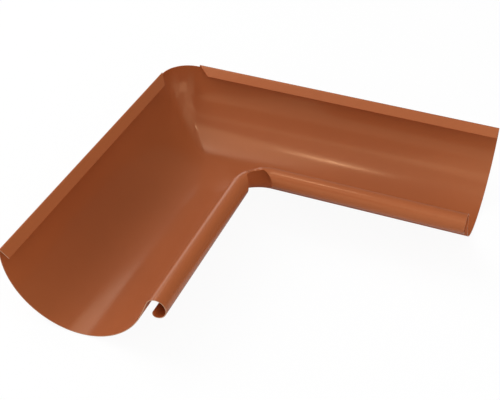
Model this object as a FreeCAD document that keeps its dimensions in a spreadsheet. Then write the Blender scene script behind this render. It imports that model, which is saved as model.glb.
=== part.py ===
import FreeCAD
import Part
import Sketcher
import math
import os

from FreeCAD import Vector

# Internal gutter angle: a half-round eaves gutter turned through a right angle, drawn from one sheet.
# The bead is on the inner side of the turn and the folded back edge on the outer side.
# Origin: where the centre lines of the two troughs cross, on the level that their bottoms rest on.
# One arm runs along +X and the other along -Y, each the mirror image of the other in the mitre plane.

SIZES = [
    ("trough_radius", 62.5, "outer radius of the half-round trough"),
    ("sheet_thickness", 0.7, "coated steel sheet"),
    ("arm_length", 324.0, "from the outer back face to the cut end of an arm"),
    ("back_rise", 2.4, "top of the folded back edge above the trough's centre line"),
    ("fold_radius", 1.05, "outer radius of the back fold"),
    ("flange_reach", 9.15, "how far the folded flange reaches over the trough"),
    ("flange_slope", 38.0, "degrees that the flange falls towards the trough"),
    ("front_lean", 21.0, "degrees that the front wall leans outwards"),
    ("front_wall", 13.6, "straight stretch of the front wall below the bead"),
    ("bead_radius", 8.6, "outer radius of the bead"),
    ("bead_tail_radius", 3.3, "outer radius of the tail that closes the bead"),
    ("bead_tail_turn", 25.0, "degrees that the tail turns on past its outermost point, into the bead"),
    ("corner_back_radius", 27.0, "plan radius of the corner at the back wall"),
    ("corner_floor_radius", 2.0, "plan radius of the corner on the trough's floor"),
    ("corner_front_run", 32.0, "from the trough's front to the end of the corner's curve"),
    ("corner_belly_run", 108.0, "from the trough's centre line to the end of the curve's belly, under the front"),
    ("corner_margin", 3.0, "straight stretch between the corner's curve and the arm"),
    ("hem_setback", 1.5, "from the end of the corner's back curve to the fold's end"),
    ("mitre_run", 13.2, "how far the flange's corner end is cut back at its tip"),
    ("notch_width", 20.5, "width of the slot across the bead at the inner corner"),
    ("notch_lip", 2.0, "width of the bead's curl that stays round the corner"),
]

doc = FreeCAD.newDocument("gutter_angle")


def make_sheet():
    """Spreadsheet of the driving dimensions."""
    sheet = doc.addObject("Spreadsheet::Sheet", "dims")
    for row, (alias, value, note) in enumerate(SIZES, start=1):
        sheet.set("A%d" % row, alias)
        sheet.set("B%d" % row, str(value))
        sheet.set("C%d" % row, note)
        sheet.setAlias("B%d" % row, alias)
    doc.recompute()
    return sheet


dims = make_sheet()

# Where the arm's full section starts, and where the flange starts, along the arm's axis
ARM_START = "dims.trough_radius + dims.corner_front_run + dims.corner_margin"
ARM_END = "dims.arm_length - dims.trough_radius"
HEM_START = "dims.corner_back_radius + dims.hem_setback - dims.trough_radius"

# How a sketch counts the points of a line or arc, and its own origin and vertical axis
START, END, CENTRE = range(1, 4)
ORIGIN, VERTICAL_AXIS = -START, -END
ORIGIN_POINT = START


def polar(centre, radius, degrees):
    angle = math.radians(degrees)
    return Vector(centre.x + radius * math.cos(angle), centre.y + radius * math.sin(angle), 0)


class Section:
    """Points of the bent sheet in the plane across an arm: x towards the back wall, y upwards.

    The sheet's dry line is its outer face and its wet line the face that the water runs on.
    """

    def __init__(self):
        self.thick = dims.sheet_thickness
        self.lean = dims.front_lean
        self.trough = Vector(0, dims.trough_radius, 0)
        self.fold = Vector(dims.trough_radius - dims.fold_radius,
                           dims.trough_radius + dims.back_rise - dims.fold_radius, 0)
        wall_normal = polar(Vector(), 1, 180 + self.lean)
        wall_along = polar(Vector(), 1, 90 + self.lean)
        wet_radius = dims.trough_radius - self.thick
        self.bead = (self.trough + wall_normal * (wet_radius + dims.bead_radius)
                     + wall_along * dims.front_wall)
        self.tail = self.bead - Vector(0, dims.bead_radius - dims.bead_tail_radius, 0)

    def radii(self, wet):
        """Radii of the trough, the fold, the bead and the tail on one face of the sheet."""
        inner = self.thick if wet else 0
        outer = 0 if wet else self.thick
        return (dims.trough_radius - inner, dims.fold_radius - inner,
                dims.bead_radius - outer, dims.bead_tail_radius - outer)


section = Section()


class Outline:
    """Sketch of one closed outline, with its sizes bound to the sheet."""

    def __init__(self, sketch):
        self.sketch = sketch

    def line(self, start, end):
        return self.sketch.addGeometry(Part.LineSegment(start, end), False)

    def arc(self, centre, radius, start_deg, end_deg):
        circle = Part.Circle(centre, Vector(0, 0, 1), radius)
        curve = Part.ArcOfCircle(circle, math.radians(start_deg), math.radians(end_deg))
        return self.sketch.addGeometry(curve, False)

    def rule(self, kind, *args):
        return self.sketch.addConstraint(Sketcher.Constraint(kind, *args))

    def size(self, formula, kind, *args):
        index = self.rule(kind, *args)
        self.sketch.setExpression("Constraints[%d]" % index, formula)

    def smooth(self, first, first_end, second, second_end):
        self.rule("Tangent", first, first_end, second, second_end)


def draw_fold(outline, bottom):
    """Back wall above the height given, the fold and the flange, on both faces of the sheet."""
    parts = {}
    slope = dims.flange_slope
    tip_x = dims.trough_radius - dims.flange_reach
    for side, wet in (("dry", False), ("wet", True)):
        radius = section.radii(wet)[1]
        wall_x = section.fold.x + radius
        top = polar(section.fold, radius, 90 + slope)
        reach = (top.x - tip_x) / math.cos(math.radians(slope))
        tip = top - polar(Vector(), reach, slope)
        parts[side + "_wall"] = outline.line(Vector(wall_x, bottom, 0), Vector(wall_x, section.fold.y, 0))
        parts[side + "_fold"] = outline.arc(section.fold, radius, 0, 90 + slope)
        parts[side + "_flange"] = outline.line(tip, top)
    dry_tip = outline.sketch.Geometry[parts["dry_flange"]].StartPoint
    wet_tip = dry_tip + polar(Vector(), section.thick, slope - 90)
    parts["tip"] = outline.line(dry_tip, wet_tip)
    return parts


def bind_fold(outline, parts):
    """Rules for the fold and flange: the wet face runs one sheet's thickness inside the dry one."""
    for side in ("dry", "wet"):
        outline.smooth(parts[side + "_wall"], END, parts[side + "_fold"], START)
        outline.smooth(parts[side + "_fold"], END, parts[side + "_flange"], END)
        tip_end = START if side == "dry" else END
        outline.rule("Coincident", parts[side + "_flange"], START, parts["tip"], tip_end)
    outline.rule("Vertical", parts["dry_wall"])
    outline.rule("Coincident", parts["dry_fold"], CENTRE, parts["wet_fold"], CENTRE)
    outline.rule("Parallel", parts["dry_flange"], parts["wet_flange"])
    outline.rule("Perpendicular", parts["dry_flange"], parts["tip"])
    outline.size("dims.fold_radius", "Radius", parts["dry_fold"], dims.fold_radius)
    outline.size("dims.fold_radius - dims.sheet_thickness", "Radius", parts["wet_fold"],
                 dims.fold_radius - dims.sheet_thickness)
    outline.size("dims.trough_radius + dims.back_rise - dims.fold_radius", "DistanceY",
                 ORIGIN, ORIGIN_POINT, parts["dry_fold"], CENTRE, section.fold.y)
    outline.size("dims.flange_slope * 1 deg", "Angle", parts["dry_flange"],
                 math.radians(dims.flange_slope))
    outline.size("dims.trough_radius - dims.flange_reach", "DistanceX",
                 ORIGIN, ORIGIN_POINT, parts["dry_flange"], START, dims.trough_radius - dims.flange_reach)


def draw_trough(outline, parts):
    """Half-round trough, front wall, bead and tail on both faces of the sheet."""
    lean = section.lean
    for side, wet in (("dry", False), ("wet", True)):
        trough, _, bead, tail = section.radii(wet)
        parts[side + "_trough"] = outline.arc(section.trough, trough, lean - 180, 0)
        foot = polar(section.trough, trough, 180 + lean)
        head = polar(section.bead, bead, lean)
        parts[side + "_front"] = outline.line(foot, head)
        parts[side + "_bead"] = outline.arc(section.bead, bead, lean, 270)
        parts[side + "_tail"] = outline.arc(section.tail, tail, 270, 360 + dims.bead_tail_turn)
    parts["end"] = outline.line(polar(section.tail, section.radii(False)[3], dims.bead_tail_turn),
                                polar(section.tail, section.radii(True)[3], dims.bead_tail_turn))


def bind_trough(outline, parts):
    """Rules for the trough, the front wall and the bead."""
    for side in ("dry", "wet"):
        outline.smooth(parts[side + "_wall"], START, parts[side + "_trough"], END)
        outline.smooth(parts[side + "_trough"], START, parts[side + "_front"], START)
        outline.smooth(parts[side + "_front"], END, parts[side + "_bead"], START)
        outline.smooth(parts[side + "_bead"], END, parts[side + "_tail"], START)
        outline.rule("Vertical", parts[side + "_bead"], CENTRE, parts[side + "_tail"], CENTRE)
        outline.rule("Coincident", parts[side + "_tail"], END, parts["end"], START if side == "dry" else END)
    outline.rule("PointOnObject", parts["dry_tail"], CENTRE, parts["end"])
    outline.size("dims.bead_tail_turn * 1 deg", "Angle", parts["end"], math.radians(dims.bead_tail_turn))
    outline.rule("Coincident", parts["dry_trough"], CENTRE, parts["wet_trough"], CENTRE)
    outline.rule("Coincident", parts["dry_bead"], CENTRE, parts["wet_bead"], CENTRE)
    outline.rule("PointOnObject", parts["dry_trough"], CENTRE, VERTICAL_AXIS)
    outline.size("dims.trough_radius", "DistanceY",
                 ORIGIN, ORIGIN_POINT, parts["dry_trough"], CENTRE, dims.trough_radius)
    for name, cell, index in (("trough", "trough_radius", 0), ("bead", "bead_radius", 2),
                              ("tail", "bead_tail_radius", 3)):
        thin = "wet" if name == "trough" else "dry"
        thick = "dry" if name == "trough" else "wet"
        outline.size("dims." + cell, "Radius", parts["%s_%s" % (thick, name)],
                     section.radii(thick == "wet")[index])
        outline.size("dims.%s - dims.sheet_thickness" % cell, "Radius", parts["%s_%s" % (thin, name)],
                     section.radii(thin == "wet")[index])
    outline.size("(90 + dims.front_lean) * 1 deg", "Angle", parts["dry_front"],
                 math.radians(90 + dims.front_lean))
    outline.size("dims.front_wall", "Distance", parts["dry_front"], dims.front_wall)


def new_sketch(body, name, plane):
    sketch = body.newObject("Sketcher::SketchObject", name)
    origin_plane = [item for item in body.Origin.OriginFeatures if item.Role == plane][0]
    sketch.AttachmentSupport = (origin_plane, [""])
    sketch.MapMode = "FlatFace"
    return sketch


def pad(body, sketch, name, formula):
    feature = body.newObject("PartDesign::Pad", name)
    feature.Profile = sketch
    feature.setExpression("Length", formula)
    return feature


def make_arm():
    """Straight arm: the whole section of the gutter from the corner to the cut end."""
    body = doc.addObject("PartDesign::Body", "arm")
    sketch = new_sketch(body, "arm_section", "YZ_Plane")
    sketch.setExpression("AttachmentOffset.Base.z", ARM_START)
    outline = Outline(sketch)
    parts = draw_fold(outline, dims.trough_radius)
    draw_trough(outline, parts)
    bind_fold(outline, parts)
    bind_trough(outline, parts)
    pad(body, sketch, "arm_length_pad", "%s - (%s)" % (ARM_END, ARM_START))
    return body


def make_hem():
    """Folded back edge beside the corner, with its flange cut to a mitre."""
    body = doc.addObject("PartDesign::Body", "hem")
    sketch = new_sketch(body, "hem_section", "YZ_Plane")
    sketch.setExpression("AttachmentOffset.Base.z", HEM_START)
    outline = Outline(sketch)
    rim = dims.trough_radius
    parts = draw_fold(outline, rim)
    parts["foot"] = outline.line(Vector(rim, rim, 0), Vector(rim - section.thick, rim, 0))
    bind_fold(outline, parts)
    outline.rule("Coincident", parts["dry_wall"], START, parts["foot"], START)
    outline.rule("Coincident", parts["wet_wall"], START, parts["foot"], END)
    outline.rule("Horizontal", parts["foot"])
    outline.rule("Vertical", parts["wet_wall"])
    for kind in ("DistanceX", "DistanceY"):
        outline.size("dims.trough_radius", kind, ORIGIN, ORIGIN_POINT, parts["foot"], START, rim)
    pad(body, sketch, "hem_pad", "%s - (%s)" % (ARM_START, HEM_START))
    cut_mitre(body)
    return body


def cut_mitre(body):
    """Triangle cut from the flange's corner end, slanting back from the wall to the flange's tip."""
    sketch = new_sketch(body, "mitre_outline", "XY_Plane")
    start = dims.corner_back_radius + dims.hem_setback - dims.trough_radius
    wall = dims.trough_radius - dims.sheet_thickness
    reach, run = dims.flange_reach, dims.mitre_run
    corners = [Vector(start, wall, 0), Vector(start, wall - reach, 0), Vector(start + run, wall - reach, 0)]
    outline = Outline(sketch)
    sides = [outline.line(corners[i], corners[(i + 1) % 3]) for i in range(3)]
    for i in range(3):
        outline.rule("Coincident", sides[i], END, sides[(i + 1) % 3], START)
    outline.rule("Vertical", sides[0])
    outline.rule("Horizontal", sides[1])
    outline.size("dims.mitre_run", "DistanceX", sides[1], START, sides[1], END, run)
    outline.size("dims.flange_reach", "DistanceY", sides[0], END, sides[0], START, reach)
    outline.size("dims.trough_radius - dims.sheet_thickness", "DistanceY",
                 ORIGIN, ORIGIN_POINT, sides[0], START, wall)
    outline.size("dims.trough_radius - dims.corner_back_radius - dims.hem_setback", "DistanceX",
                 sides[0], START, ORIGIN, ORIGIN_POINT, -start)
    pocket = body.newObject("PartDesign::Pocket", "mitre")
    pocket.Profile = sketch
    pocket.Type = "ThroughAll"
    pocket.Reversed = True
    return pocket


def arc_span(centre, radius, start_deg, end_deg, first_run, middle_run, last_run):
    """Arc as three control points, each with the plan radius of the corner there and a weight."""
    half = math.radians(end_deg - start_deg) / 2
    middle = polar(centre, radius / math.cos(half), (start_deg + end_deg) / 2)
    return [(polar(centre, radius, start_deg), first_run, 1.0), (middle, middle_run, math.cos(half)),
            (polar(centre, radius, end_deg), last_run, 1.0)]


def face_spans(wet):
    """One face of the sheet round the corner, from the back rim to the bead's free end.

    Each control point carries the place along the arm's axis where the corner's curve ends at its level.
    """
    trough, _, bead, tail = section.radii(wet)
    back = dims.corner_back_radius - dims.trough_radius
    floor = dims.corner_floor_radius
    front = dims.trough_radius + dims.corner_front_run
    lean = section.lean
    blend_back = (dims.corner_back_radius + floor) / 2 - dims.trough_radius
    return [
        arc_span(section.trough, trough, 0, -90, back, blend_back, floor),
        arc_span(section.trough, trough, -90, lean - 180, floor, dims.corner_belly_run, front),
        [(polar(section.trough, trough, lean - 180), front, 1.0),
         (polar(section.bead, bead, lean), front, 1.0)],
        arc_span(section.bead, bead, lean, 90, front, front, front),
        arc_span(section.bead, bead, 90, 180, front, front, front),
        arc_span(section.bead, bead, 180, 270, front, front, front),
        arc_span(section.tail, tail, 270, 360 + dims.bead_tail_turn, front, front, front),
    ]


def surface(columns):
    """Surface through columns of weighted control points, two or three each way."""
    poles = [[point for point, weight in column] for column in columns]
    weights = [[weight for point, weight in column] for column in columns]
    across, along = len(columns) - 1, len(columns[0]) - 1
    patch = Part.BSplineSurface()
    patch.buildFromPolesMultsKnots(poles, [across + 1] * 2, [along + 1] * 2, [0, 1], [0, 1],
                                   False, False, across, along, weights)
    return patch.toShape()


def curve(points):
    """Line or arc through two or three weighted control points."""
    line = Part.BSplineCurve()
    degree = len(points) - 1
    line.buildFromPolesMultsKnots([point for point, weight in points], [degree + 1] * 2, [0, 1],
                                  False, degree, [weight for point, weight in points])
    return line.toShape()


def mirrored(point):
    return Vector(-point.y, -point.x, point.z)


def corner_faces(span, arm_start):
    """Straight stretch, turn and straight stretch of one span, as three faces."""
    turn_weight = math.cos(math.radians(45))
    begin = [(Vector(arm_start, p.x, p.y), w) for p, run, w in span]
    tangent = [(Vector(run, p.x, p.y), w) for p, run, w in span]
    vertex = [(Vector(-p.x, p.x, p.y), w * turn_weight) for p, run, w in span]
    far_tangent = [(mirrored(p), w) for p, w in tangent]
    far_begin = [(mirrored(p), w) for p, w in begin]
    return [surface([begin, tangent]), surface([tangent, vertex, far_tangent]),
            surface([far_tangent, far_begin])]


def make_corner():
    """Drawn corner: the section carried round a curve whose radius is large at the walls and small below."""
    arm_start = dims.trough_radius + dims.corner_front_run + dims.corner_margin
    dry, wet = face_spans(False), face_spans(True)
    rim_edge = [dry[0][0], wet[0][0]]
    free_edge = [dry[-1][-1], wet[-1][-1]]
    spans = dry + wet + [rim_edge, free_edge]
    faces = [face for span in spans for face in corner_faces(span, arm_start)]
    for flip in (False, True):
        edges = []
        for span in spans:
            points = [(Vector(arm_start, p.x, p.y), w) for p, run, w in span]
            edges.append(curve([(mirrored(p), w) for p, w in points] if flip else points))
        faces.append(Part.Face(Part.Wire(Part.sortEdges(edges)[0])))
    shell = Part.makeShell(faces)
    shell.sewShape()
    solid = Part.makeSolid(Part.Shell(shell.Faces))
    if solid.Volume < 0:
        solid.reverse()
    feature = doc.addObject("Part::Feature", "corner_full")
    feature.Shape = solid
    return feature


def make_notch():
    """Slot cut across the bead along the mitre, leaving a narrow lip of the bead's curl round the corner."""
    slot = doc.addObject("Part::Box", "notch_slot")
    slot.Placement = FreeCAD.Placement(Vector(), FreeCAD.Rotation(Vector(0, 0, 1), -45))
    slot.setExpression("Length", "2 * (dims.trough_radius + dims.corner_front_run)")
    slot.setExpression("Width", "dims.notch_width")
    slot.setExpression("Height", "2 * dims.trough_radius")
    for axis in ("x", "y"):
        slot.setExpression("Placement.Base." + axis, "-dims.notch_width / 2 * cos(45)")
    turn = doc.addObject("Part::Cylinder", "notch_turn")
    centre = "dims.trough_radius + dims.corner_front_run"
    bead_inside = ("(dims.trough_radius - dims.sheet_thickness + dims.bead_radius) * cos(dims.front_lean)"
                   " + dims.front_wall * sin(dims.front_lean) - dims.bead_radius")
    turn.setExpression("Radius", "%s - (%s) - dims.notch_lip" % (centre, bead_inside))
    turn.setExpression("Height", "2 * dims.trough_radius")
    turn.setExpression("Placement.Base.x", centre)
    turn.setExpression("Placement.Base.y", "-(%s)" % centre)
    notch = doc.addObject("Part::MultiCommon", "notch")
    notch.Shapes = [slot, turn]
    return notch


def mirror(source, name):
    """Copy of a feature on the other arm, across the mitre plane."""
    copy = doc.addObject("Part::Mirroring", name)
    copy.Source = source
    copy.Normal = Vector(1, 1, 0)
    return copy


def make_angle():
    """The whole gutter angle as one solid."""
    arm, hem = make_arm(), make_hem()
    corner = doc.addObject("Part::Cut", "corner")
    corner.Base = make_corner()
    corner.Tool = make_notch()
    angle = doc.addObject("Part::MultiFuse", "whole_angle")
    angle.Shapes = [corner, arm, hem, mirror(arm, "arm_mirrored"), mirror(hem, "hem_mirrored")]
    angle.Refine = True
    angle.Label = "gutter_angle"
    return angle


def check(parts):
    """Stops on any failed object, loose outline or unusable shape."""
    for item in doc.Objects:
        if "Invalid" in item.State or "Error" in item.State:
            raise RuntimeError("%s failed: %s" % (item.Name, item.State))
        if item.isDerivedFrom("Sketcher::SketchObject") and not item.FullyConstrained:
            raise RuntimeError("%s is not fully bound by its sizes" % item.Name)
    for part in parts:
        if part.Shape.isNull() or not part.Shape.isValid():
            raise RuntimeError("%s has no valid shape" % part.Label)
        if len(part.Shape.Solids) != 1:
            raise RuntimeError("%s is %d solids" % (part.Label, len(part.Shape.Solids)))


parts = [make_angle()]
doc.recompute()
check(parts)
os.makedirs("parts", exist_ok=True)
for part in parts:
    part.Shape.exportStep("parts/%s.step" % part.Label)
    box = part.Shape.BoundBox
    print("%s: volume %.0f mm3, %d faces, x %.2f to %.2f, y %.2f to %.2f, z %.2f to %.2f" % (
        part.Label, part.Shape.Volume, len(part.Shape.Faces),
        box.XMin, box.XMax, box.YMin, box.YMax, box.ZMin, box.ZMax))
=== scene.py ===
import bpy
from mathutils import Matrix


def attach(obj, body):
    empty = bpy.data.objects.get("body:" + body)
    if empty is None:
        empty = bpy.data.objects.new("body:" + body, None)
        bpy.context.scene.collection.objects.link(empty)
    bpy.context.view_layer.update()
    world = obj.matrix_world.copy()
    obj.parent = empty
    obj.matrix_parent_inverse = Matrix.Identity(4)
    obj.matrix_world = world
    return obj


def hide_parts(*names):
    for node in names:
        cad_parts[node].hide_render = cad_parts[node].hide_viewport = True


bl_info = {
    "name": "Internal gutter angle",
    "version": (1, 0, 0),
    "blender": (4, 5, 0),
    "location": "View3D > Sidebar > Gutter angle",
    "description": "Coated half-round gutter angle for an inner roof corner, with its studio",
    "category": "Object",
}

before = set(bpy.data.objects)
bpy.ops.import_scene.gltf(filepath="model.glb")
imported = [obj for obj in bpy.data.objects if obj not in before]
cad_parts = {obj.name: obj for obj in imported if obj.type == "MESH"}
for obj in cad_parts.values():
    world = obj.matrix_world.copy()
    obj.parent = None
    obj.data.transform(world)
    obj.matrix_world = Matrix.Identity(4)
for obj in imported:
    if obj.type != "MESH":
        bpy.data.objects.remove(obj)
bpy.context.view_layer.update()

import math

import bpy
from bpy.props import FloatProperty, FloatVectorProperty, PointerProperty
from mathutils import Euler, Matrix, Vector, kdtree

MM = 0.001
CAD_NODE = "gutter_angle"
SHEET_NAME = "gutter_angle_sheet"

# How finely the sheet is divided across its section
BACK_WALL_ROWS = 40
TROUGH_FRONT_ROWS = 32
FRONT_WALL_ROWS = 6
BEAD_ROWS = 50
TAIL_ROWS = 14
RISE_ROWS = 2
FOLD_ROWS = 12
FLANGE_ROWS = 6

# How finely it is divided along the corner, on to the arm (in three stretches) and along the arm
MITRE_COLUMNS = 14
CURVE_COLUMNS = 20
BLEND_COLUMNS = (1, 3, 17)
BLEND_NEAR_END = 0.1
ARM_COLUMNS = 30

# Turns in degrees on the corner's curve
MITRE_TURN = 135.0
ARM_TURN = 90.0

# Turns in degrees round the bead's section
BEAD_END = 270.0
LIP_JOINS_BEAD = 97.0
LIP_END = 117.0
NOTCH_SPREADS_FROM = 95.0
NOTCH_SPREAD_TURN = 45.0
TAIL_SETS_BACK_FROM = 225.0
TAIL_SETBACK_TURN = 55.0

# Share of the lip, from the mitre towards the bead, that keeps the lip's own radius
LIP_KEEPS = 0.35

# How near counts as on the mitre plane, and as at an arm's cut end
ON_MITRE = 1e-7
AT_ARM_END = 1e-5

# Material slots of the sheet; the outer face's slot is coloured lighter than the coating as painted
# fill light for its shade
SATIN, CUT_EDGE, BACKING = range(3)

# Rounding of the sheet's edges
EDGE_ROUNDING = 0.12 * MM
EDGE_SEGMENTS = 2
EDGE_ANGLE = 50.0

# Coating: scale, detail and roughness of its grain, cloudiness and smears
GRAIN = (1500.0, 3.0, 0.6)
CLOUDINESS = (14.0, 4.0, 0.55)
SMEARS = (60.0, 5.0, 0.65)

# Coating: the stretch of the noise that counts, and how far it moves the shade and the roughness
CLOUD_RANGE = (0.3, 0.7)
CLOUD_SHADE = 0.03
SMEAR_RANGE = (0.25, 0.75)
SMEAR_ROUGHNESS = 0.03
GRAIN_DEPTH = 0.1 * MM

# Wear of the colour beside the arms' cut ends, partly painted highlight: the cut edge's lighter
# colour spread onto the faces beside it
EDGE_WEAR_AND_HIGHLIGHT = 0.5
WEAR_AND_HIGHLIGHT_WIDTH = 1.2 * MM
CUT_WEAR_AND_HIGHLIGHT_WIDTH = 1.0 * MM
CUT_ROUGHNESS = 0.5

WHITE = (1, 1, 1, 1)

# Name, azimuth, elevation and turn in degrees, distance, width and height in metres, watts
LAMPS = [
    ("main softbox", 173.7, 49.2, 22.4, 1.7, 1.302, 1.9, 12.8),
    ("back softbox", 164.3, 48.0, 1.5, 1.7, 1.8, 0.796, 7.1),
    ("overhead lamp", 182.6, 79.0, 19.9, 1.7, 0.08, 0.16, 0.9),
    ("overhead strip", 252.8, 54.0, 0.0, 1.7, 0.9, 0.17, 0.45),
    ("front fill", 292.0, 45.0, 0.0, 1.7, 1.2, 1.2, 4.2),
    ("front top fill", 270.0, 72.0, 0.0, 1.7, 1.0, 1.0, 1.4),
    ("front low fill", 270.0, 14.0, 0.0, 1.7, 1.3, 0.8, 2.4),
    ("front right fill", 315.0, 14.0, 0.0, 1.7, 1.3, 0.8, 6.4),
    ("right front fill", 337.0, 45.0, 0.0, 1.7, 1.2, 1.2, 1.3),
    ("right fill", 0.0, 14.0, 0.0, 1.7, 1.3, 0.8, 3.2),
    ("right top fill", 0.0, 72.0, 0.0, 1.7, 1.0, 1.0, 2.4),
    ("left fill", 225.0, 14.0, 0.0, 1.7, 1.3, 0.8, 3.9),
    ("left back fill", 135.0, 12.0, 0.0, 1.7, 1.3, 0.9, 3.7),
    ("back fill", 90.0, 14.0, 0.0, 1.7, 1.3, 0.8, 0.4),
]
STUDIO_CENTRE = Vector((0.07, -0.07, 0.03))

# Floor: half its side, its gap below the sheet, and how white it is to the camera and in gloss
FLOOR_REACH = 6.0
FLOOR_GAP = 0.2 * MM
FLOOR_WHITE = 0.94
FLOOR_WHITE_IN_GLOSS = 0.12

SENSOR_WIDTH = 36.0
CLIP_RANGE = (0.01, 50.0)


# Properties

def length(label, millimetres, text):
    """A length in metres with its default given in millimetres."""
    return FloatProperty(name=label, description=text, default=millimetres * MM, unit="LENGTH",
                         precision=5)


def angle(label, degrees, text):
    """A rotation with its default given in degrees."""
    return FloatProperty(name=label, description=text, default=math.radians(degrees),
                         unit="ROTATION")


def colour(label, value, text):
    """A colour without alpha."""
    return FloatVectorProperty(name=label, description=text, default=value, size=3, min=0, max=1,
                               subtype="COLOR")


def factor(label, value, text, top=1.0):
    """A number from 0 to its top."""
    return FloatProperty(name=label, description=text, default=value, min=0, max=top,
                         subtype="FACTOR")


class GutterSizes(bpy.types.PropertyGroup):
    """Sizes of the folded sheet."""

    trough_radius: length("Trough radius", 62.5, "Outer radius of the half-round trough")
    sheet: length("Sheet", 0.7, "Thickness of the coated sheet")
    arm: length("Arm", 324.0, "From the outer back face to the cut end of an arm")
    back_rise: length("Back rise", 2.4, "Top of the back edge above the trough's centre line")
    fold_radius: length("Fold radius", 1.05, "Outer radius of the back fold")
    flange_reach: length("Flange reach", 9.15, "How far the flange reaches over the trough")
    flange_slope: angle("Flange slope", 38.0, "How steeply the flange falls to the trough")
    front_lean: angle("Front lean", 21.0, "How far the front wall leans outwards")
    front_wall: length("Front wall", 13.6, "Straight stretch of the front wall below the bead")
    bead_radius: length("Bead radius", 8.6, "Outer radius of the bead")
    tail_radius: length("Tail radius", 3.3, "Outer radius of the tail that closes the bead")
    tail_turn: angle("Tail turn", 25.0, "How far the tail turns on into the bead")
    back_corner: length("Back corner", 27.0, "Plan radius of the corner at the back wall")
    floor_corner: length("Floor corner", 2.0, "Plan radius of the corner on the trough's floor")
    front_run: length("Front run", 32.0, "From the trough's front to the end of the curve")
    belly_run: length("Belly run", 108.0, "From the trough's centre line to the belly's end")
    margin: length("Margin", 3.0, "Straight stretch between the corner's curve and the arm")
    hem_setback: length("Hem setback", 1.5, "From the corner's back curve to the fold's end")
    mitre_run: length("Mitre run", 13.2, "How far the flange's end is cut back at its tip")
    notch_top: length("Notch at the top", 10.8, "Half the notch where the bead's curl begins")
    notch_spread: length("Notch spread", 5.8, "How much the notch widens down round the bead")
    tail_setback: length("Tail setback", 8.0, "How much further from the notch the tail begins")
    lip_radius: length("Lip radius", 3.0, "Outer radius of the rolled lip round the notch")


class GutterFinish(bpy.types.PropertyGroup):
    """Colours and gloss of the coated sheet."""

    coat: colour("Coating", (0.38, 0.095, 0.024), "Brick brown coating")
    # Lighter than the coating: painted fill light that brightens the outer face where it lies in
    # shade, on top of its duller coat
    backing_with_painted_fill: colour("Backing coat", (0.45, 0.105, 0.028), "Thinner coat of the outer face")
    gloss: colour("Gloss", (1.0, 0.62, 0.33), "Tint of the coating's gloss")
    # The cut edges' colour is partly bare metal and partly painted highlight where the arms' cut
    # ends catch light
    edge: colour("Cut edge", (0.52, 0.30, 0.19), "Zinc under a drag of coating")
    roughness: factor("Roughness", 0.16, "Roughness of the coating")
    specular: factor("Specular level", 0.45, "How strongly the coating reflects")
    sheen: factor("Sheen", 0.5, "How strongly the coating's matt skin reflects")
    sheen_roughness: factor("Sheen roughness", 0.65, "Roughness of the matt skin")
    backing_roughness: factor("Backing roughness", 0.5, "Roughness of the outer face")
    backing_specular: factor("Backing specular level", 0.1, "How strongly the outer face reflects")
    grain: factor("Grain", 0.12, "Strength of the coating's fine grain")


class GutterStudio(bpy.types.PropertyGroup):
    """Camera and light of the studio."""

    lens: FloatProperty(name="Lens", description="Focal length in millimetres",
                        default=76.71, unit="CAMERA")
    place: FloatVectorProperty(name="Camera place", description="Where the camera stands",
                               default=(0.33723, -0.78357, 0.58535), subtype="TRANSLATION")
    aim: FloatVectorProperty(name="Camera turn", description="Rotation of the camera",
                             default=[math.radians(turn) for turn in (53.364, -0.639, 21.911)],
                             subtype="EULER")
    shift: FloatVectorProperty(name="Shift", description="Sensor shift across and up",
                               default=(0.03, 0.0), size=2)
    world: factor("World", 0.15, "Strength of the even light from all around", 4.0)
    floor: colour("Floor", (0.7, 0.7, 0.7), "What the floor gives back to the object")


# The section of the sheet

class Station:
    """One line along the sheet: a wet and a dry point of the section, with its run and turn.

    In the section u points at the back wall and v upwards, both from the trough's centre line.
    The run is where the corner's curve ends along the arm, and the turn is the place on an arc.
    """

    def __init__(self, wet, dry, run=0.0, turn=0.0):
        self.wet, self.dry, self.run, self.turn = wet, dry, run, turn


def on_circle(centre, radius, degrees):
    """Point of a circle in the section."""
    turn = math.radians(degrees)
    return (centre[0] + radius * math.cos(turn), centre[1] + radius * math.sin(turn))


def run_on_arc(share, arc_degrees, runs):
    """Run at a share of an arc's angle, between the runs of its three control points."""
    half = math.radians(abs(arc_degrees)) / 2
    theta = share * 2 * half
    first, last = math.sin(half - theta / 2), math.sin(theta / 2)
    s = last / (first + last)
    weights = ((1 - s) ** 2, 2 * s * (1 - s) * math.cos(half), s * s)
    return sum(w * r for w, r in zip(weights, runs)) / sum(weights)


def arc(centre, wet_radius, dry_radius, start, end, steps, runs=(0, 0, 0)):
    """Stations along an arc of the section, its first one among them."""
    rows = []
    for i in range(steps + 1):
        share = i / steps
        degrees = start + (end - start) * share
        wet, dry = (on_circle(centre, radius, degrees) for radius in (wet_radius, dry_radius))
        rows.append(Station(wet, dry, run_on_arc(share, end - start, runs), degrees))
    return rows


def straight(first, last, steps, run=0.0):
    """Stations from one station to another, without the first."""
    rows = []
    for i in range(1, steps + 1):
        t = i / steps
        wet = tuple(a + (b - a) * t for a, b in zip(first.wet, last.wet))
        dry = tuple(a + (b - a) * t for a, b in zip(first.dry, last.dry))
        rows.append(Station(wet, dry, run, last.turn))
    return rows


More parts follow.
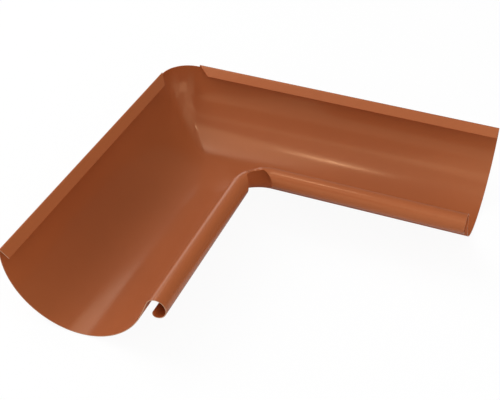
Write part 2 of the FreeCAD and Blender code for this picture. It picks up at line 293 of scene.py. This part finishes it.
class Section:
    """The bent sheet across an arm, in metres."""

    def __init__(self, sizes):
        self.sizes = sizes
        self.radius, self.sheet = sizes.trough_radius, sizes.sheet
        self.lean = math.degrees(sizes.front_lean)
        self.slope = math.degrees(sizes.flange_slope)
        self.front = self.radius + sizes.front_run
        self.arm_start = self.front + sizes.margin
        self.arm_end = sizes.arm - self.radius
        self.hem_start = sizes.back_corner + sizes.hem_setback - self.radius
        wall_normal = on_circle((0, 0), 1, 180 + self.lean)
        wall_along = on_circle((0, 0), 1, 90 + self.lean)
        reach = self.radius - self.sheet + sizes.bead_radius
        self.bead = tuple(n * reach + a * sizes.front_wall for n, a in zip(wall_normal, wall_along))
        self.tail = (self.bead[0], self.bead[1] - sizes.bead_radius + sizes.tail_radius)
        self.fold = (self.radius - sizes.fold_radius, sizes.back_rise - sizes.fold_radius)

    def trough_rows(self):
        """From the rim of the back wall to the top of the front wall, where the bead begins."""
        sizes, lean = self.sizes, self.lean
        inner, outer = self.radius - self.sheet, self.radius
        back, floor = sizes.back_corner - self.radius, sizes.floor_corner
        blend_back = (sizes.back_corner + floor) / 2 - self.radius
        rows = arc((0, 0), inner, outer, 0, -90, BACK_WALL_ROWS, (back, blend_back, floor))
        rows += arc((0, 0), inner, outer, -90, lean - 180, TROUGH_FRONT_ROWS,
                    (floor, sizes.belly_run, self.front))[1:]
        top = Station(*(on_circle(self.bead, radius, lean)
                        for radius in (sizes.bead_radius, sizes.bead_radius - self.sheet)))
        return rows + straight(rows[-1], top, FRONT_WALL_ROWS, self.front)

    def bead_rows(self):
        """From the top of the front wall round the bead to its free end, without the first row."""
        bead, tail, runs = self.sizes.bead_radius, self.sizes.tail_radius, (self.front,) * 3
        tail_end = 360 + math.degrees(self.sizes.tail_turn)
        rows = arc(self.bead, bead, bead - self.sheet, self.lean, BEAD_END, BEAD_ROWS, runs)[1:]
        rows += arc(self.tail, tail, tail - self.sheet, BEAD_END, tail_end, TAIL_ROWS, runs)[1:]
        return rows

    def hem_rows(self):
        """From the rim up the back wall, over the fold and down the flange, without the rim."""
        sizes = self.sizes
        rim = Station((self.radius - self.sheet, 0), (self.radius, 0))
        fold = arc(self.fold, sizes.fold_radius - self.sheet, sizes.fold_radius,
                   0, 90 + self.slope, FOLD_ROWS)
        top = fold[-1]
        reach = (top.dry[0] - (self.radius - sizes.flange_reach)) / math.cos(sizes.flange_slope)
        down = on_circle((0, 0), -reach, self.slope)
        tip = Station(*(tuple(a + b for a, b in zip(point, down)) for point in (top.wet, top.dry)))
        return straight(rim, fold[0], RISE_ROWS) + fold[1:] + straight(top, tip, FLANGE_ROWS)


# The right arm and its half of the corner

class Sheet:
    """Wet and dry faces of the sheet as one grid of point pairs, with the faces between them."""

    def __init__(self):
        self.wet, self.dry, self.quads, self.outer = [], [], [], []

    def add(self, wet, dry):
        """Adds a pair of points and gives back its number."""
        self.wet.append(wet)
        self.dry.append(dry)
        return len(self.wet) - 1

    def bridge(self, first, second, outer=BACKING):
        """Quads between two rows of equal length, with the finish of their dry face."""
        for i in range(len(first) - 1):
            corners = (first[i], first[i + 1], second[i + 1], second[i])
            if len(set(corners)) == 4:
                self.quads.append(corners)
                self.outer.append(outer)


def cumulative(*steps):
    """Values from the first on; each count that follows divides the way to its stop evenly."""
    values = [steps[0]]
    for count, stop in zip(steps[1::2], steps[2::2]):
        start = values[-1]
        values += [start + (stop - start) * i / count for i in range(1, count + 1)]
    return values


def smooth(share):
    """A share held between 0 and 1 and eased at both ends."""
    share = min(1.0, max(0.0, share))
    return share * share * (3 - 2 * share)


def in_turn(section, u, v, run, degrees):
    """Place on the corner's curve: 90 degrees where the right arm begins, 135 on the mitre."""
    reach = run + u
    turn = math.radians(degrees)
    return Vector((run + reach * math.cos(turn), -run + reach * math.sin(turn), section.radius + v))


def notch_at(sizes, degrees):
    """Half width of the notch along x + y, at a turn of the bead's section."""
    spread = 1 - math.exp(-max(0.0, degrees - NOTCH_SPREADS_FROM) / NOTCH_SPREAD_TURN)
    tail = smooth((degrees - TAIL_SETS_BACK_FROM) / TAIL_SETBACK_TURN)
    return sizes.notch_top + sizes.notch_spread * spread + sizes.tail_setback * tail


def cut_place(section, u, limit):
    """Where a row meets the notch's plane x + y = limit, from the end of the corner's curve."""
    reach = section.front + u
    if limit >= reach:
        return limit - reach
    turn = math.radians(MITRE_TURN) - math.asin(limit / (reach * math.sqrt(2)))
    return -reach * (turn - math.radians(ARM_TURN))


def along_row(section, u, v, place):
    """Point of a front row at a place along it, from the end of the corner's curve."""
    if place >= 0:
        return Vector((section.front + place, u, section.radius + v))
    reach = section.front + u
    return in_turn(section, u, v, section.front, ARM_TURN - math.degrees(place / reach))


class Half:
    """The right arm and its half of the corner; the left half is its mirror image."""

    def __init__(self, section):
        self.section, self.sizes, self.sheet = section, section.sizes, Sheet()
        rows = section.trough_rows()
        self.rim, self.root = rows[0], rows[-1]
        self.root_reach = section.front + self.root.wet[0]
        self.root_cut = cut_place(section, self.root.wet[0], self.sizes.notch_top)
        self.root_turn = ARM_TURN - math.degrees(self.root_cut / self.root_reach)
        self.turns = cumulative(MITRE_TURN, MITRE_COLUMNS, self.root_turn, CURVE_COLUMNS, ARM_TURN)
        tight, near, far = BLEND_COLUMNS
        hem_share = self.sizes.hem_setback / (section.arm_start - self.rim.run)
        self.blend_shares = cumulative(0.0, tight, hem_share, near, BLEND_NEAR_END, far, 1.0)[1:]
        self.arm_places = cumulative(section.arm_start, ARM_COLUMNS, section.arm_end)[1:]
        grid = self.add_trough(rows)
        self.add_hem(grid[0])
        self.add_lip(grid[-1], self.add_bead(grid[-1]))

    def add_pair(self, row, place):
        """Adds both points of a station, each where place(u, v) puts it."""
        return self.sheet.add(*(place(u, v) for u, v in (row.wet, row.dry)))

    def add_straight(self, row, places):
        """Adds a row's points at places along the arm's axis."""
        return [self.add_pair(row, lambda u, v: Vector((x, u, self.section.radius + v)))
                for x in places]

    def blend_places(self, run):
        """Where the columns stand between the end of a row's curve and the arm."""
        return [run + (self.section.arm_start - run) * share for share in self.blend_shares]

    def add_trough(self, rows):
        """Trough and front wall, from the mitre to the end of the arm."""
        grid = []
        for row in rows:
            line = [self.add_pair(row, lambda u, v: in_turn(self.section, u, v, row.run, turn))
                    for turn in self.turns]
            places = self.blend_places(row.run) + self.arm_places
            grid.append(line + self.add_straight(row, places))
        for first, second in zip(grid, grid[1:]):
            self.sheet.bridge(first, second)
        return grid

    def add_hem(self, rim_line):
        """Fold and flange, from the column where the hem starts."""
        section = self.section
        shares = [(x - section.hem_start) / (section.arm_start - section.hem_start)
                  for x in self.blend_places(self.rim.run)]
        previous = rim_line[len(self.turns):]
        for row in section.hem_rows():
            line = [self.add_pair(row, lambda u, v: self.hem_point(u, v, share))
                    for share in shares]
            line += self.add_straight(row, self.arm_places)
            self.sheet.bridge(line, previous, SATIN)
            previous = line

    def hem_point(self, u, v, share):
        """Point of the hem at a share of the way from its end, which is cut to a mitre."""
        section = self.section
        depth = max(0.0, section.radius - section.sheet - u)
        cut = section.hem_start + self.sizes.mitre_run * depth / self.sizes.flange_reach
        return Vector((cut + (section.arm_start - cut) * share, u, section.radius + v))

    def add_bead(self, root_line):
        """Bead from the notch to the end of the arm; gives back the points that the lip meets."""
        margin = self.sizes.margin
        places = [-self.root_reach * math.radians(turn - ARM_TURN)
                  for turn in self.turns[MITRE_COLUMNS:]]
        places += [margin * share for share in self.blend_shares]
        shares = [(place - self.root_cut) / (margin - self.root_cut) for place in places]
        previous, joined = root_line[MITRE_COLUMNS:], []
        for row in self.section.bead_rows():
            line = [self.add_pair(row, lambda u, v: self.bead_point(u, v, row.turn, share))
                    for share in shares]
            line += self.add_straight(row, self.arm_places)
            self.sheet.bridge(previous, line)
            if row.turn <= LIP_JOINS_BEAD:
                joined.append(line[0])
            previous = line
        return joined

    def bead_point(self, u, v, turn, share):
        """Point of the bead at a share of the way from the notch's cut."""
        cut = cut_place(self.section, u, notch_at(self.sizes, turn))
        return along_row(self.section, u, v, cut + (self.sizes.margin - cut) * share)

    def add_lip(self, root_line, joined):
        """Rolled lip round the notch, tight in the middle, running out into the bead."""
        section, sizes, count = self.section, self.sizes, len(joined)
        bead_turn = section.lean + (BEAD_END - section.lean) * count / BEAD_ROWS
        previous = root_line[:MITRE_COLUMNS + 1]
        for step, join in enumerate(joined, 1):
            line = []
            for turn in self.turns[:MITRE_COLUMNS]:
                side = (MITRE_TURN - turn) / (MITRE_TURN - self.root_turn)
                blend = smooth((side - LIP_KEEPS) / (1 - LIP_KEEPS))
                radius = sizes.lip_radius + (sizes.bead_radius - sizes.lip_radius) * blend
                centre = on_circle(self.root.wet, -radius, section.lean)
                end = LIP_END + (bead_turn - LIP_END) * blend
                at = section.lean + (end - section.lean) * step / count
                row = Station(on_circle(centre, radius, at),
                              on_circle(centre, radius - section.sheet, at))
                line.append(self.add_pair(row, lambda u, v: in_turn(section, u, v, section.front,
                                                                    turn)))
            line.append(join)
            self.sheet.bridge(previous, line)
            previous = line


# The whole sheet as a mesh

def mirrored(point):
    """The point's mirror image in the upright plane through the mitre."""
    return Vector((-point.y, -point.x, point.z))


def join_halves(half):
    """Wet points, dry points and quads of both halves, sharing the points on the mitre."""
    wet, dry, twin = list(half.wet), list(half.dry), []
    for i, point in enumerate(half.wet):
        if abs(point.x + point.y) < ON_MITRE:
            twin.append(i)
        else:
            twin.append(len(wet))
            wet.append(mirrored(point))
            dry.append(mirrored(half.dry[i]))
    quads = half.quads + [tuple(twin[i] for i in reversed(quad)) for quad in half.quads]
    return wet, dry, quads


def open_edges(quads):
    """Edges that only one quad has, in its direction."""
    edges = dict.fromkeys(pair for quad in quads for pair in zip(quad, quad[1:] + quad[:1]))
    return [(a, b) for a, b in edges if (b, a) not in edges]


def mark_edge_distance(mesh, places):
    """Stores how far each point of the mesh lies from the nearest of the places."""
    tree = kdtree.KDTree(len(places))
    for i, place in enumerate(places):
        tree.insert(place, i)
    tree.balance()
    distance = mesh.attributes.new("edge_distance", "FLOAT", "POINT")
    distance.data.foreach_set("value", [tree.find(vertex.co)[2] for vertex in mesh.vertices])


def build_mesh(section):
    """Closed mesh of the sheet: both faces and the cut edges, which are bare at the arms' ends and
    get a lighter colour there that is partly painted highlight.
    """
    half = Half(section).sheet
    wet, dry, quads = join_halves(half)
    rim, count = open_edges(quads), len(wet)
    faces = [tuple(reversed(quad)) for quad in quads]
    faces += [tuple(i + count for i in quad) for quad in quads]
    faces += [(a, b, b + count, a + count) for a, b in rim]
    mesh = bpy.data.meshes.new(SHEET_NAME)
    mesh.from_pydata([tuple(point) for point in wet + dry], [], faces)
    mesh.update()
    arm_end = section.arm_end - AT_ARM_END
    bare = [min(max(wet[i].x, -wet[i].y) for i in pair) > arm_end for pair in rim]
    # Distance only to the bare cut edges at the arms' ends, where the lighter band beside them is
    # partly painted highlight
    mark_edge_distance(mesh, [(wet[a] + dry[a]) / 2 for (a, _), cut in zip(rim, bare) if cut])
    finish = [SATIN] * len(quads) + half.outer * 2 + [CUT_EDGE if cut else BACKING for cut in bare]
    mesh.polygons.foreach_set("material_index", finish)
    mesh.polygons.foreach_set("use_smooth", [True] * len(mesh.polygons))
    return mesh


# Finishes

# Sockets of the Mix node when it mixes colours
MIX_FACTOR, MIX_A, MIX_B, MIX_RESULT = 0, 6, 7, 2


def node(tree, kind, inputs=None, **settings):
    """A node with its settings, and its inputs linked to sockets or set to values."""
    made = tree.nodes.new(kind)
    for key, value in settings.items():
        setattr(made, key, value)
    for key, value in (inputs or {}).items():
        if isinstance(value, bpy.types.NodeSocket):
            tree.links.new(value, made.inputs[key])
        else:
            made.inputs[key].default_value = value
    return made


def noise(tree, place, scale, detail, roughness):
    """Noise from 0 to 1 at a place."""
    made = node(tree, "ShaderNodeTexNoise", {"Vector": place, "Scale": scale, "Detail": detail,
                                             "Roughness": roughness})
    return made.outputs["Fac"]


def remap(tree, value, low, high, new_low, new_high):
    """A value moved from one range into another."""
    made = node(tree, "ShaderNodeMapRange", {"Value": value, "From Min": low, "From Max": high,
                                             "To Min": new_low, "To Max": new_high})
    return made.outputs["Result"]


def calculate(tree, operation, *values):
    """Result of arithmetic with sockets and numbers."""
    return node(tree, "ShaderNodeMath", dict(enumerate(values)), operation=operation).outputs[0]


def mix_colours(tree, share, first, second):
    """Colour between two colours."""
    made = node(tree, "ShaderNodeMix", {MIX_FACTOR: share, MIX_A: first, MIX_B: second},
                data_type="RGBA")
    return made.outputs[MIX_RESULT]


def coating_group():
    """Grain, cloudiness and edge wear of a baked coating on sheet metal; the edge wear is partly
    painted highlight beside the arms' cut ends.
    """
    group = bpy.data.node_groups.new("coating_surface", "ShaderNodeTree")
    for label, way, kind in (("Colour", "INPUT", "NodeSocketColor"),
                             ("Worn And Lit Colour", "INPUT", "NodeSocketColor"),
                             ("Roughness", "INPUT", "NodeSocketFloat"),
                             ("Edge Width", "INPUT", "NodeSocketFloat"),
                             ("Colour", "OUTPUT", "NodeSocketColor"),
                             ("Roughness", "OUTPUT", "NodeSocketFloat"),
                             ("Height", "OUTPUT", "NodeSocketFloat")):
        group.interface.new_socket(label, in_out=way, socket_type=kind)
    given = group.nodes.new("NodeGroupInput").outputs
    result = group.nodes.new("NodeGroupOutput").inputs
    place = node(group, "ShaderNodeTexCoord").outputs["Object"]
    grain, cloud, smear = (noise(group, place, *kind) for kind in (GRAIN, CLOUDINESS, SMEARS))

    shade = remap(group, cloud, *CLOUD_RANGE, 1 - CLOUD_SHADE, 1 + CLOUD_SHADE)
    shaded = node(group, "ShaderNodeVectorMath", {0: given["Colour"], 1: shade},
                  operation="MULTIPLY").outputs[0]
    # Lighter towards the arms' cut ends: partly wear, partly painted highlight
    distance = node(group, "ShaderNodeAttribute", attribute_name="edge_distance").outputs["Fac"]
    width = calculate(group, "MULTIPLY", smear, given["Edge Width"])
    wear_and_highlight = remap(group, distance, 0.0, width, EDGE_WEAR_AND_HIGHLIGHT, 0.0)
    rough = remap(group, smear, *SMEAR_RANGE, -SMEAR_ROUGHNESS, SMEAR_ROUGHNESS)

    group.links.new(mix_colours(group, wear_and_highlight, shaded, given["Worn And Lit Colour"]), result["Colour"])
    group.links.new(calculate(group, "ADD", given["Roughness"], rough), result["Roughness"])
    group.links.new(grain, result["Height"])
    return group


def finish_material(look, name, base, worn_and_lit, roughness, specular, sheen, wear_and_highlight_width):
    """Material of one face of the sheet, with the coating's grain and wear; the wear is partly
    painted highlight beside the arms' cut ends.
    """
    material = bpy.data.materials.new(name)
    material.use_nodes = True
    tree = material.node_tree
    group = bpy.data.node_groups.get("coating_surface") or coating_group()
    surface = node(tree, "ShaderNodeGroup", node_tree=group)
    surface.inputs["Colour"].default_value = (*base, 1)
    surface.inputs["Worn And Lit Colour"].default_value = (*worn_and_lit, 1)
    surface.inputs["Roughness"].default_value = roughness
    surface.inputs["Edge Width"].default_value = wear_and_highlight_width
    bump = node(tree, "ShaderNodeBump", {"Height": surface.outputs["Height"],
                                         "Strength": look.grain, "Distance": GRAIN_DEPTH})
    shader = tree.nodes["Principled BSDF"].inputs
    tree.links.new(surface.outputs["Colour"], shader["Base Color"])
    tree.links.new(surface.outputs["Roughness"], shader["Roughness"])
    tree.links.new(bump.outputs["Normal"], shader["Normal"])
    shader["Specular IOR Level"].default_value = specular
    shader["Specular Tint"].default_value = (*look.gloss, 1)
    shader["Coat Weight"].default_value = sheen
    shader["Coat Roughness"].default_value = look.sheen_roughness
    return material


class OBJECT_OT_gutter_sheet(bpy.types.Operator):
    """Build the folded and drawn sheet with its coating"""

    bl_idname = "object.gutter_sheet"
    bl_label = "Gutter angle sheet"

    def execute(self, context):
        scene, look = context.scene, context.scene.gutter_finish
        mesh = build_mesh(Section(scene.gutter_sizes))
        sheet = bpy.data.objects.new(SHEET_NAME, mesh)
        scene.collection.objects.link(sheet)
        for finish in (
                ("satin_coating", look.coat, look.edge, look.roughness, look.specular, look.sheen,
                 WEAR_AND_HIGHLIGHT_WIDTH),
                # Cut edges at the arms' ends: a lighter colour that is partly painted highlight
                ("cut_edge", look.edge, look.coat, CUT_ROUGHNESS, look.specular, 0.0,
                 CUT_WEAR_AND_HIGHLIGHT_WIDTH),
                # The outer face: a duller coat, coloured lighter than the coating as painted fill
                # light for its shade
                ("backing_coat", look.backing_with_painted_fill, look.edge, look.backing_roughness,
                 look.backing_specular, 0.0, WEAR_AND_HIGHLIGHT_WIDTH)):
            mesh.materials.append(finish_material(look, *finish))
        bevel = sheet.modifiers.new("edge rounding", "BEVEL")
        bevel.width, bevel.segments = EDGE_ROUNDING, EDGE_SEGMENTS
        bevel.limit_method, bevel.angle_limit = "ANGLE", math.radians(EDGE_ANGLE)
        bevel.harden_normals = True
        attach(sheet, "root")
        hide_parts(CAD_NODE)
        return {"FINISHED"}


# Studio

def floor_paper(base):
    """Pale matt paper, nearly white to the camera, less so in gloss, that takes a shadow."""
    material = bpy.data.materials.new("floor_paper")
    material.use_nodes = True
    tree = material.node_tree
    tree.nodes.remove(tree.nodes["Principled BSDF"])
    rays = node(tree, "ShaderNodeLightPath").outputs
    tone = mix_colours(tree, rays["Is Camera Ray"], (*base, 1), WHITE)
    matt = node(tree, "ShaderNodeBsdfDiffuse", {"Color": tone}).outputs[0]
    glow = node(tree, "ShaderNodeEmission", {"Color": WHITE, "Strength": 1.0}).outputs[0]
    gloss = calculate(tree, "MAXIMUM", rays["Is Glossy Ray"], rays["Is Transmission Ray"])
    in_gloss = calculate(tree, "MULTIPLY", gloss, FLOOR_WHITE_IN_GLOSS)
    seen = calculate(tree, "MULTIPLY_ADD", rays["Is Camera Ray"], FLOOR_WHITE, in_gloss)
    mix = node(tree, "ShaderNodeMixShader", {0: seen, 1: matt, 2: glow}).outputs[0]
    tree.links.new(mix, tree.nodes["Material Output"].inputs["Surface"])
    return material


class SCENE_OT_gutter_stage(bpy.types.Operator):
    """Build the floor, the light and the camera"""

    bl_idname = "scene.gutter_stage"
    bl_label = "Studio"

    def execute(self, context):
        scene, studio = context.scene, context.scene.gutter_studio
        scene.view_settings.view_transform = "Standard"
        self.add_floor(scene, studio)
        self.add_world(scene, studio)
        for lamp in LAMPS:
            self.add_lamp(scene, *lamp)
        self.add_camera(scene, studio)
        return {"FINISHED"}

    def add_floor(self, scene, studio):
        """Plain floor just under the trough."""
        mesh = bpy.data.meshes.new("floor")
        ends = (-FLOOR_REACH, FLOOR_REACH)
        mesh.from_pydata([(x, y, 0) for y in ends for x in ends], [], [(0, 1, 3, 2)])
        mesh.materials.append(floor_paper(studio.floor))
        floor = bpy.data.objects.new("floor", mesh)
        floor.location.z = -FLOOR_GAP
        scene.collection.objects.link(floor)

    def add_world(self, scene, studio):
        """Even light from all around, white to the camera."""
        world = bpy.data.worlds.new("studio")
        world.use_nodes = True
        scene.world = world
        tree = world.node_tree
        light = tree.nodes["Background"]
        light.inputs["Color"].default_value = WHITE
        light.inputs["Strength"].default_value = studio.world
        seen = node(tree, "ShaderNodeBackground", {"Color": WHITE, "Strength": 1.0})
        rays = node(tree, "ShaderNodeLightPath").outputs
        mix = node(tree, "ShaderNodeMixShader", {0: rays["Is Camera Ray"], 1: light.outputs[0],
                                                 2: seen.outputs[0]})
        tree.links.new(mix.outputs[0], tree.nodes["World Output"].inputs["Surface"])

    def add_lamp(self, scene, name, azimuth, elevation, turn, distance, width, height, power):
        """One flat lamp that looks at the middle of the studio."""
        data = bpy.data.lights.new(name, "AREA")
        data.shape, data.size, data.size_y, data.energy = "RECTANGLE", width, height, power
        lamp = bpy.data.objects.new(name, data)
        aim = Euler((math.radians(90 - elevation), 0, math.radians(azimuth + 90))).to_matrix()
        aim = aim @ Matrix.Rotation(math.radians(turn), 3, "Z")
        lamp.location = STUDIO_CENTRE + aim @ Vector((0, 0, distance))
        lamp.rotation_euler = aim.to_euler()
        scene.collection.objects.link(lamp)

    def add_camera(self, scene, studio):
        """Camera at the studio's viewing angle."""
        data = bpy.data.cameras.new("camera")
        data.lens, data.sensor_width = studio.lens, SENSOR_WIDTH
        data.shift_x, data.shift_y = studio.shift
        data.clip_start, data.clip_end = CLIP_RANGE
        camera = bpy.data.objects.new("camera", data)
        camera.location = studio.place
        camera.rotation_euler = Euler(studio.aim)
        scene.collection.objects.link(camera)
        scene.camera = camera


class VIEW3D_PT_gutter_angle(bpy.types.Panel):
    """Sizes, finish and studio of the gutter angle"""

    bl_label = "Gutter angle"
    bl_idname = "VIEW3D_PT_gutter_angle"
    bl_space_type = "VIEW_3D"
    bl_region_type = "UI"
    bl_category = "Gutter angle"

    def draw(self, context):
        for group, operator in (("gutter_sizes", None), ("gutter_finish", OBJECT_OT_gutter_sheet),
                                ("gutter_studio", SCENE_OT_gutter_stage)):
            box = self.layout.box()
            settings = getattr(context.scene, group)
            for name in settings.bl_rna.properties.keys():
                if name not in ("rna_type", "name"):
                    box.prop(settings, name)
            if operator:
                box.operator(operator.bl_idname)


GROUPS = (("gutter_sizes", GutterSizes), ("gutter_finish", GutterFinish),
          ("gutter_studio", GutterStudio))
CLASSES = (GutterSizes, GutterFinish, GutterStudio, OBJECT_OT_gutter_sheet, SCENE_OT_gutter_stage,
           VIEW3D_PT_gutter_angle)


def register():
    for item in CLASSES:
        bpy.utils.register_class(item)
    for name, group in GROUPS:
        setattr(bpy.types.Scene, name, PointerProperty(type=group))


def unregister():
    for name, group in GROUPS:
        delattr(bpy.types.Scene, name)
    for item in reversed(CLASSES):
        bpy.utils.unregister_class(item)


def main():
    """Registers the add-on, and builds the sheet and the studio."""
    register()
    bpy.ops.object.gutter_sheet()
    bpy.ops.scene.gutter_stage()


if __name__ == "__main__":
    main()
